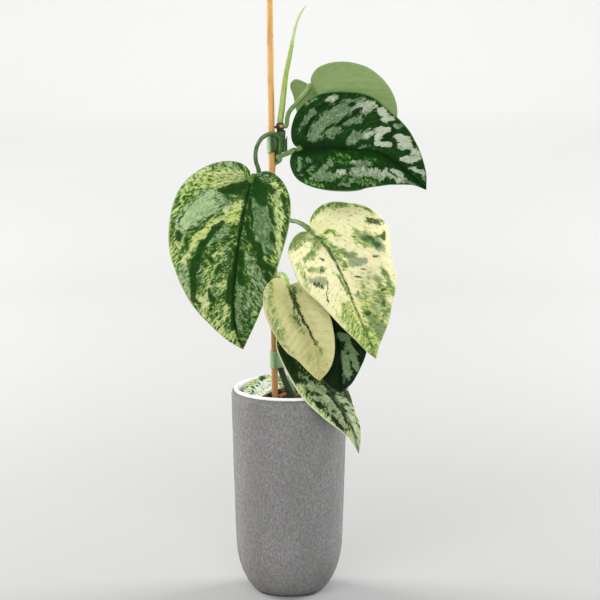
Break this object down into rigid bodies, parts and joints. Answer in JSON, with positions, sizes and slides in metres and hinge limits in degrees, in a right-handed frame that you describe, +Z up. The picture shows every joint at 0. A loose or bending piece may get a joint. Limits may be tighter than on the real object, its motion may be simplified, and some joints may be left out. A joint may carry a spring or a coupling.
{
  "type": "potted satin pothos",
  "caption": "Variegated satin pothos with heart-shaped leaves on a vine, tied to a cane in a tall grey textured pot with a white glazed lip.",
  "frame": {"origin": "middle of the pot's flat underside", "axes": "+Z up along the pot's axis, the plant's front faces -Y"},
  "size_m": [0.218, 0.1171, 0.53],
  "materials": {
    "pot": "grey coat with a fine grain, white glazed lip and inside",
    "potting_mix": "damp, with bark chips",
    "cane": "golden, lightly varnished",
    "vine": "smooth, with brown nodes",
    "tie_lower": "soft green tape",
    "tie_upper": "soft green tape",
    "new_shoot": "smooth and pale",
    "leaf_left_large": "satin, green and cream streaks with silver",
    "leaf_upper_right": "satin, dark green with silver patches",
    "leaf_top_back": "matt sage-green underside",
    "leaf_cream_large": "satin, cream with green specks",
    "leaf_cream_small": "satin, cream with a green midrib",
    "leaf_lower_inner": "satin, dark green with silver patches",
    "leaf_over_rim": "satin, green and silver with a pale margin",
    "leaf_pot_mouth": "satin, silver with a mottled margin"
  },
  "bodies": {
    "root": {"pot": "pot", "potting_mix": "potting_mix", "cane": "cane", "vine": "vine", "tie_lower": "tie_lower", "tie_upper": "tie_upper", "new_shoot": "new_shoot", "leaf_left_large": "leaf_left_large", "leaf_upper_right": "leaf_upper_right", "leaf_top_back": "leaf_top_back", "leaf_cream_large": "leaf_cream_large", "leaf_cream_small": "leaf_cream_small", "leaf_lower_inner": "leaf_lower_inner", "leaf_over_rim": "leaf_over_rim", "leaf_pot_mouth": "leaf_pot_mouth"}
  },
  "joints": []
}
